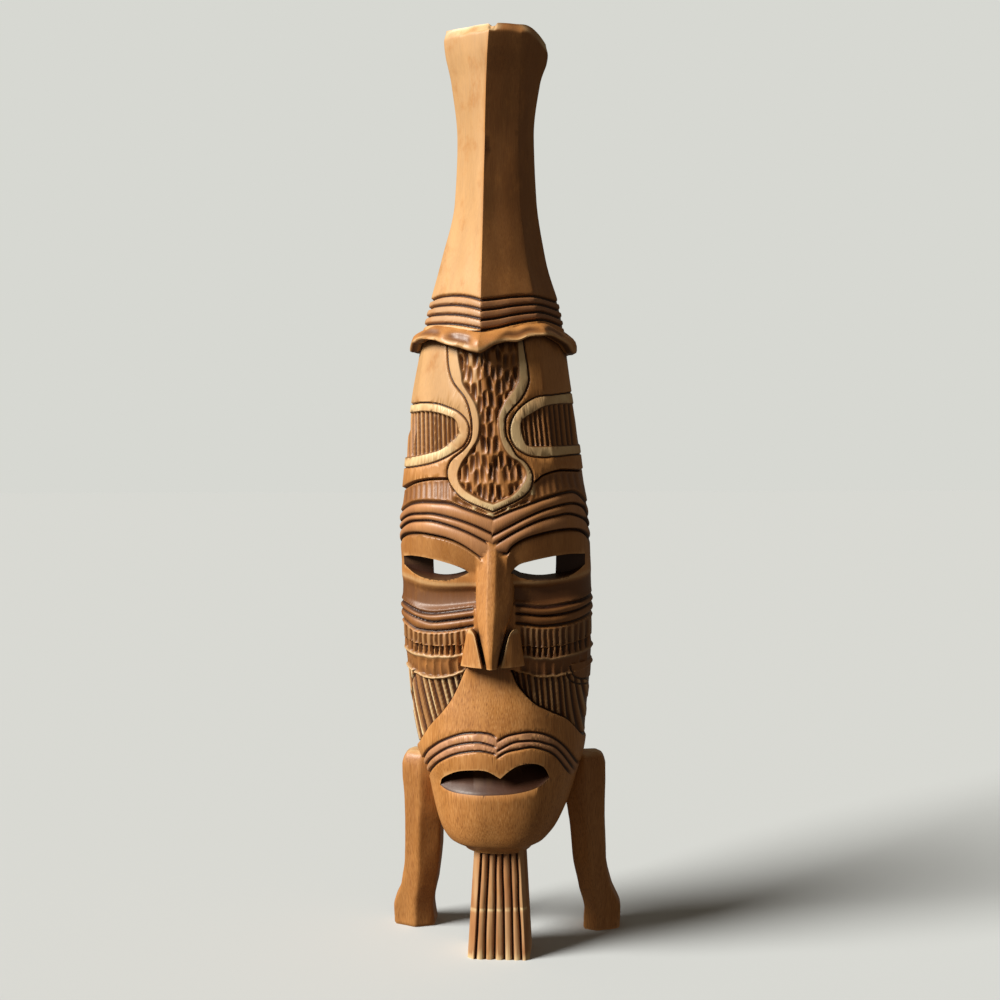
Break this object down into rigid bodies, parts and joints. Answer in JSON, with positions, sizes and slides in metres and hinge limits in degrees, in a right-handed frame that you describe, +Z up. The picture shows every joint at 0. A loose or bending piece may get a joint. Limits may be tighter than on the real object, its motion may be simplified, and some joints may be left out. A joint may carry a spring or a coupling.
{
  "type": "standing carved wooden mask",
  "caption": "Tall carved wooden mask with a flaring cap, slit eyes, open mouth and hollow back, standing on two rear legs and a fluted beard.",
  "frame": {"origin": "middle of the footprint box, on the surface the feet stand on", "axes": "+Z up along the mask, -Y the way the face looks, +X to the viewer's right"},
  "size_m": [0.0996, 0.066, 0.381],
  "materials": {
    "carved_wood": "satin lacquer over a honey stain, darker stain in the carved fields and worn pale edges"
  },
  "bodies": {
    "root": {"carved_mask": "carved_wood"}
  },
  "joints": []
}
